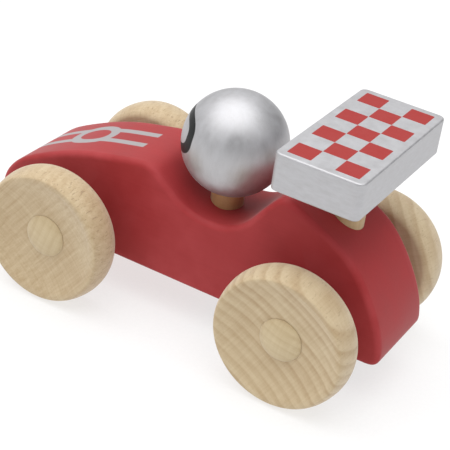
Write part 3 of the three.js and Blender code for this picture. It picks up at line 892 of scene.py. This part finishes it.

# %% [markdown]
# ## Red paint
# The body has two thin coats of water-based matte enamel over sanded beech. It hides the colour of
# the wood but not its fibres, so the surface has a faint grain and slightly uneven gloss. Along the
# rolled edges a paler line is painted, partly wear where the coat is thin and partly painted highlight
# where the rolled edge catches the light. The silver stripes and the plain oval on the bonnet are
# printed on top: they are laid out from above, in X and Y, on the upper side only.

# %% Ovals
def oval(tree, first, second, halves, power, soft):
    """1 inside the superellipse |a / half a| ^ power + |b / half b| ^ power = 1 and 0 outside it, with
    a soft change between."""
    terms = []
    for value, half in zip((first, second), halves):
        size = add(tree, "Math", {0: value}, operation="ABSOLUTE")
        ratio = add(tree, "Math", {0: size, 1: half}, operation="DIVIDE")
        terms.append(add(tree, "Math", {0: ratio, 1: power}, operation="POWER"))
    total = add(tree, "Math", {0: terms[0], 1: terms[1]}, operation="ADD")
    return add(tree, "MapRange", {"Value": total, "From Min": 1 - soft, "From Max": 1 + soft,
                                  "To Min": 1.0, "To Max": 0.0}, interpolation_type="SMOOTHSTEP")


# %% Marks on the bonnet
STRIPE_HALF_GAP = 3.9
STRIPE_HALF_WIDTH = 1.3
STRIPE_MIDDLE = -0.95
STRIPE_START, STRIPE_END = 21.7, 61.5
OVAL_PLACE = (41.0, -1.0)
OVAL_OUTER, OVAL_INNER = (6.9, 7.0), (4.3, 4.0)
OVAL_POWER = 2.2
INK_EDGE = 0.12
UPPER_SIDE = (22.0, 23.0)


def bonnet_marks(tree, place):
    """Two stripes along the bonnet and an oval ring over them, as a mask from 0 to 1."""
    x, y, z = add(tree, "SeparateXYZ", {0: place}).node.outputs
    sideways = add(tree, "Math", {0: y, 1: STRIPE_MIDDLE}, operation="SUBTRACT")
    from_middle = add(tree, "Math", {0: sideways}, operation="ABSOLUTE")
    from_stripe = add(tree, "Math", {0: from_middle, 1: STRIPE_HALF_GAP}, operation="SUBTRACT")
    off = add(tree, "Math", {0: from_stripe}, operation="ABSOLUTE")
    stripe = add(tree, "MapRange", {"Value": off, "From Min": STRIPE_HALF_WIDTH - INK_EDGE,
                                    "From Max": STRIPE_HALF_WIDTH + INK_EDGE,
                                    "To Min": 1.0, "To Max": 0.0})
    started = add(tree, "MapRange", {"Value": x, "From Min": STRIPE_START - 0.15,
                                     "From Max": STRIPE_START + 0.15})
    ended = add(tree, "MapRange", {"Value": x, "From Min": STRIPE_END - 0.2,
                                   "From Max": STRIPE_END + 0.2, "To Min": 1.0, "To Max": 0.0})
    along = add(tree, "Math", {0: started, 1: ended}, operation="MULTIPLY")
    stripes = add(tree, "Math", {0: stripe, 1: along}, operation="MULTIPLY")
    local_x = add(tree, "Math", {0: x, 1: OVAL_PLACE[0]}, operation="SUBTRACT")
    local_y = add(tree, "Math", {0: y, 1: OVAL_PLACE[1]}, operation="SUBTRACT")
    outside = oval(tree, local_x, local_y, OVAL_OUTER, OVAL_POWER, 0.03)
    inside = oval(tree, local_x, local_y, OVAL_INNER, OVAL_POWER, 0.06)
    either = add(tree, "Math", {0: stripes, 1: outside}, operation="MAXIMUM")
    mask = add(tree, "Math", {0: either, 1: inside}, operation="SUBTRACT", use_clamp=True)
    upper = add(tree, "MapRange", {"Value": z, "From Min": UPPER_SIDE[0], "From Max": UPPER_SIDE[1]})
    return add(tree, "Math", {0: mask, 1: upper}, operation="MULTIPLY")


# %% Red paint on the body
def red_paint():
    """Matte red enamel on beech, with printed marks and paler edges."""
    material, tree = new_material("matte_red_enamel_on_beech")
    place = in_millimetres(tree)
    fibre = streaks(tree, place, (0.07, 1.3, 1.3), 4.0, roughness=0.6)
    cloud = add(tree, "TexNoise", {"Vector": place, "Scale": 0.11, "Detail": 3.0})
    orange_peel = add(tree, "TexNoise", {"Vector": place, "Scale": 1.6, "Detail": 2.0})
    uneven = add(tree, "Math", {0: fibre, 1: 0.5, 2: cloud}, operation="MULTIPLY_ADD")
    paint = add(tree, "ValToRGB", {0: uneven}, stops=[(0.45, "#9A2729"), (1.05, "#A52D30")])
    # Paler line on the rolled edges: partly wear where the coat is thin, partly painted highlight where
    # the edges catch the light.
    edge = add(tree, "Attribute", output="Fac", attribute_name="edge")
    patches = add(tree, "MapRange", {"Value": cloud, "From Min": 0.35, "From Max": 0.7,
                                     "To Max": 0.16})
    wear_and_highlight = add(tree, "Math", {0: edge, 1: patches}, operation="MULTIPLY")
    edged = add(tree, "Mix", {"Factor": wear_and_highlight, 6: paint, 7: linear("#C0666A")}, output=2,
                data_type="RGBA")
    marks = bonnet_marks(tree, place)
    printed = add(tree, "Mix", {"Factor": marks, 6: edged, 7: linear("#ADA8A9")}, output=2,
                  data_type="RGBA")
    rough = add(tree, "MapRange", {"Value": cloud, "From Min": 0.3, "From Max": 0.7,
                                   "To Min": 0.55, "To Max": 0.66})
    relief = add(tree, "Math", {0: fibre, 1: 0.8, 2: orange_peel}, operation="MULTIPLY_ADD")
    bump = add(tree, "Bump", {"Height": relief, "Strength": 0.22, "Distance": 0.05 * MM})
    metal = add(tree, "Math", {0: marks, 1: 0.5}, operation="MULTIPLY")
    shader = add(tree, "BsdfPrincipled", {
        "Base Color": printed,
        "Metallic": metal,
        "Roughness": rough,
        "IOR": 1.5,
        "Specular IOR Level": 0.3,
        "Sheen Weight": 0.16,
        "Sheen Roughness": 0.4,
        "Normal": bump,
    })
    add(tree, "OutputMaterial", {"Surface": shader})
    return material


body.data.materials.append(red_paint())

# %% [markdown]
# ## Silver paint
# The ball and the wing have an aluminium-flake paint. The flakes lie flat in the coat and mirror the
# room softly, so the finish is metallic and fairly rough. The brush and the grain below leave fine
# streaks. The ball carries a dark printed visor: a rounded band given by the angle round the ball and
# the angle above its middle. The wing carries a grid of checks, seven by three, and every other one
# is red.

# %% Silver paint
def silver_coat(tree, place, stretch):
    """The shared parts of the silver finish: colour, roughness and bump sockets."""
    streak = streaks(tree, place, stretch, 5.0, roughness=0.65)
    flake = add(tree, "TexNoise", {"Vector": place, "Scale": 6.0, "Detail": 1.0})
    mixed = add(tree, "Math", {0: flake, 1: 0.25, 2: streak}, operation="MULTIPLY_ADD")
    color = add(tree, "ValToRGB", {0: mixed}, stops=[(0.35, "#B1B0B2"), (0.9, "#C5C5C8")])
    rough = add(tree, "MapRange", {"Value": streak, "From Min": 0.3, "From Max": 0.7,
                                   "To Min": 0.42, "To Max": 0.54})
    bump = add(tree, "Bump", {"Height": mixed, "Strength": 0.2, "Distance": 0.05 * MM})
    return color, rough, bump


VISOR_OUTER = (65.0, 25.4)
VISOR_INNER = (53.0, 16.0)
VISOR_UP = 12.0
VISOR_POWER = 3.0
HELMET_METALLIC = 0.88


def helmet_paint():
    """Silver paint with a dark printed visor outline on the front of the ball."""
    material, tree = new_material("silver_flake_paint_with_visor")
    place = add(tree, "Mapping", {
        "Vector": add(tree, "TexCoord", output="Object"),
        "Location": Vector(head_centre) * MM,
        "Scale": (MM, MM, MM),
    }, vector_type="TEXTURE")
    x, y, z = add(tree, "SeparateXYZ", {0: place}).node.outputs
    turn = add(tree, "Math", {0: y, 1: x}, operation="ARCTAN2")
    round_angle = add(tree, "Math", {0: turn}, operation="DEGREES")
    height = add(tree, "Math", {0: z, 1: HEAD_RADIUS}, operation="DIVIDE")
    rise = add(tree, "Math", {0: height}, operation="ARCSINE")
    up_angle = add(tree, "Math", {0: rise}, operation="DEGREES")
    level = add(tree, "Math", {0: up_angle, 1: VISOR_UP}, operation="SUBTRACT")
    outer = oval(tree, round_angle, level, VISOR_OUTER, VISOR_POWER, 0.02)
    inner = oval(tree, round_angle, level, VISOR_INNER, VISOR_POWER, 0.03)
    band = add(tree, "Math", {0: outer, 1: inner}, operation="SUBTRACT", use_clamp=True)
    color, rough, bump = silver_coat(tree, place, (0.5, 0.5, 0.16))
    printed = add(tree, "Mix", {"Factor": band, 6: color, 7: linear("#121415")}, output=2,
                  data_type="RGBA")
    inked = add(tree, "Math", {0: band, 1: HELMET_METALLIC}, operation="MULTIPLY")
    metal = add(tree, "Math", {0: HELMET_METALLIC, 1: inked}, operation="SUBTRACT")
    shader = add(tree, "BsdfPrincipled", {
        "Base Color": printed,
        "Metallic": metal,
        "Roughness": rough,
        "Specular IOR Level": 0.3,
        "Normal": bump,
    })
    add(tree, "OutputMaterial", {"Surface": shader})
    return material


head.data.materials.append(helmet_paint())

# %% Wing paint with checks
CHECKS = (3, 7)
CHECK_MARGIN = 0.36
CHECK_HALF, CHECK_POWER, CHECK_SOFT = 0.51, 16.0, 0.12
TOP_SKIN = (0.4, 0.3)
WING_METALLIC = 0.75


def wing_paint():
    """Silver paint with red checks on the top: a cell is red where its row and column add up even."""
    material, tree = new_material("silver_flake_paint_with_checks")
    place = in_millimetres(tree)
    size = wing_high - wing_low
    cell = [size[k] / (CHECKS[k] + 2 * CHECK_MARGIN) for k in (0, 1)]
    x, y, z = add(tree, "SeparateXYZ", {0: place}).node.outputs
    inside, parity, local = [], [], []
    for k, value in enumerate((x, y)):
        start = wing_low[k] + CHECK_MARGIN * cell[k]
        moved = add(tree, "Math", {0: value, 1: start}, operation="SUBTRACT")
        counted = add(tree, "Math", {0: moved, 1: cell[k]}, operation="DIVIDE")
        whole = add(tree, "Math", {0: counted}, operation="FLOOR")
        part = add(tree, "Math", {0: counted}, operation="FRACT")
        above = add(tree, "Math", {0: counted, 1: 0.0}, operation="GREATER_THAN")
        below = add(tree, "Math", {0: counted, 1: float(CHECKS[k])}, operation="LESS_THAN")
        inside.append(add(tree, "Math", {0: above, 1: below}, operation="MULTIPLY"))
        parity.append(whole)
        local.append(add(tree, "Math", {0: part, 1: 0.5}, operation="SUBTRACT"))
    total = add(tree, "Math", {0: parity[0], 1: parity[1]}, operation="ADD")
    half = add(tree, "Math", {0: total, 1: 0.5}, operation="MULTIPLY")
    odd = add(tree, "Math", {0: half}, operation="FRACT")
    is_even = add(tree, "Math", {0: odd, 1: 0.25}, operation="LESS_THAN")
    square = oval(tree, *local, (CHECK_HALF, CHECK_HALF), CHECK_POWER, CHECK_SOFT)
    in_grid = add(tree, "Math", {0: inside[0], 1: inside[1]}, operation="MULTIPLY")
    chosen = add(tree, "Math", {0: in_grid, 1: is_even}, operation="MULTIPLY")
    on_top = add(tree, "MapRange", {"Value": z, "From Min": wing_high[2] - TOP_SKIN[0],
                                    "From Max": wing_high[2] - TOP_SKIN[1]})
    shaped = add(tree, "Math", {0: chosen, 1: square}, operation="MULTIPLY")
    red = add(tree, "Math", {0: shaped, 1: on_top}, operation="MULTIPLY")
    color, rough, bump = silver_coat(tree, place, (0.3, 0.3, 1.0))
    printed = add(tree, "Mix", {"Factor": red, 6: color, 7: linear("#9C2B28")}, output=2,
                  data_type="RGBA")
    inked = add(tree, "Math", {0: red, 1: WING_METALLIC}, operation="MULTIPLY")
    metal = add(tree, "Math", {0: WING_METALLIC, 1: inked}, operation="SUBTRACT")
    duller = add(tree, "Math", {0: red, 1: 0.2, 2: rough}, operation="MULTIPLY_ADD")
    shader = add(tree, "BsdfPrincipled", {
        "Base Color": printed,
        "Metallic": metal,
        "Roughness": duller,
        "Specular IOR Level": 0.4,
        "Normal": bump,
    })
    add(tree, "OutputMaterial", {"Surface": shader})
    return material


wing.data.materials.append(wing_paint())

# %% [markdown]
# ## Metal and plastic
# The axles and screws are drawn mild steel, with fine scratches along their length. The mainspring is
# blued spring steel and the pinion is brass. The sleeves, bushes and gears are natural nylon, which is
# milky and slightly uneven; the case and cover are black ABS with a fine spark-eroded texture.

# %% Metal
def drawn_metal(name, light, dark, rough):
    """A drawn or cut metal: long fine scratches along Y, in colour, gloss and bump."""
    material, tree = new_material(name)
    place = in_millimetres(tree)
    scratch = streaks(tree, place, (5.0, 0.3, 5.0), 3.0)
    color = add(tree, "ValToRGB", {0: scratch}, stops=[(0.3, dark), (0.7, light)])
    gloss = add(tree, "MapRange", {"Value": scratch, "To Min": rough - 0.06, "To Max": rough + 0.1})
    bump = add(tree, "Bump", {"Height": scratch, "Strength": 0.2, "Distance": 0.02 * MM})
    shader = add(tree, "BsdfPrincipled", {
        "Base Color": color,
        "Metallic": 1.0,
        "Roughness": gloss,
        "Normal": bump,
    })
    add(tree, "OutputMaterial", {"Surface": shader})
    return material


steel = drawn_metal("drawn_mild_steel", "#C4C5C8", "#9EA0A4", 0.3)
spring_steel = drawn_metal("blued_spring_steel", "#6F7788", "#4E5566", 0.32)
brass = drawn_metal("hobbed_brass", "#D6B56A", "#B08E48", 0.3)


# %% Plastic
def moulded(name, light, dark, rough, grit, depth):
    """A moulded plastic: faint clouds of colour and a fine eroded texture, grit millimetres apart."""
    material, tree = new_material(name)
    place = in_millimetres(tree)
    cloud = add(tree, "TexNoise", {"Vector": place, "Scale": 0.25, "Detail": 2.0})
    texture = add(tree, "TexNoise", {"Vector": place, "Scale": 1 / grit, "Detail": 2.0})
    color = add(tree, "ValToRGB", {0: cloud}, stops=[(0.35, dark), (0.65, light)])
    gloss = add(tree, "MapRange", {"Value": texture, "To Min": rough - 0.08, "To Max": rough + 0.08})
    bump = add(tree, "Bump", {"Height": texture, "Strength": 0.4, "Distance": depth * MM})
    shader = add(tree, "BsdfPrincipled", {
        "Base Color": color,
        "Roughness": gloss,
        "IOR": 1.53,
        "Normal": bump,
    })
    add(tree, "OutputMaterial", {"Surface": shader})
    return material


nylon = moulded("natural_nylon", "#EAE6DA", "#DDD8C8", 0.42, 0.5, 0.02)
black_abs = moulded("eroded_black_abs", "#2B2C2F", "#222326", 0.5, 0.35, 0.05)

# %% Put metal and plastic on their pieces
for piece in [*axles.values(), *screws]:
    piece.data.materials.append(steel)
for piece in [*sleeves.values(), *bushes.values()]:
    piece.data.materials.append(nylon)
cover.data.materials.append(black_abs)

CAD_FINISHES = {
    "motor_case_left": black_abs,
    "motor_case_right": black_abs,
    "axle_pinion": brass,
    "idler_gear": nylon,
    "winding_gear": nylon,
    "idler_pin": steel,
    "winding_arbor": steel,
    "mainspring": spring_steel,
    "case_screw_1": steel,
    "case_screw_2": steel,
}
for node, material in CAD_FINISHES.items():
    frame["nodes"][node].data.materials.clear()
    frame["nodes"][node].data.materials.append(material)
print("finished", len(CAD_FINISHES), "pieces of the motor")

# %% [markdown]
# ## Floor
# A plain pale sheet of frosted acrylic, as on a light table, big enough to fill the
# view from any side. A little light comes through it from below, which keeps the shadows faint.

# %% Floor
FLOOR_HALF = 1500.0


def light_table():
    """Frosted white acrylic: matte, with a fine tooth, and faintly lit from below."""
    material, tree = new_material("frosted_white_acrylic")
    place = add(tree, "TexCoord", output="Object")
    tooth = add(tree, "TexNoise", {"Vector": place, "Scale": 900.0, "Detail": 2.0})
    color = add(tree, "ValToRGB", {0: tooth}, stops=[(0.3, "#929292"), (0.7, "#969696")])
    shader = add(tree, "BsdfPrincipled", {
        "Base Color": color,
        "Roughness": 0.9,
        "Emission Color": (1, 1, 1, 1),
        "Emission Strength": 0.68,
    })
    add(tree, "OutputMaterial", {"Surface": shader})
    return material


corner = np.array([[-1, -1], [1, -1], [1, 1], [-1, 1]]) * FLOOR_HALF
floor_mesh = bpy.data.meshes.new("floor")
floor_mesh.from_pydata([(x * MM, y * MM, 0.0) for x, y in corner], [], [(0, 1, 2, 3)])
floor = bpy.data.objects.new("floor", floor_mesh)
floor.data.materials.append(light_table())
bpy.context.scene.collection.objects.link(floor)
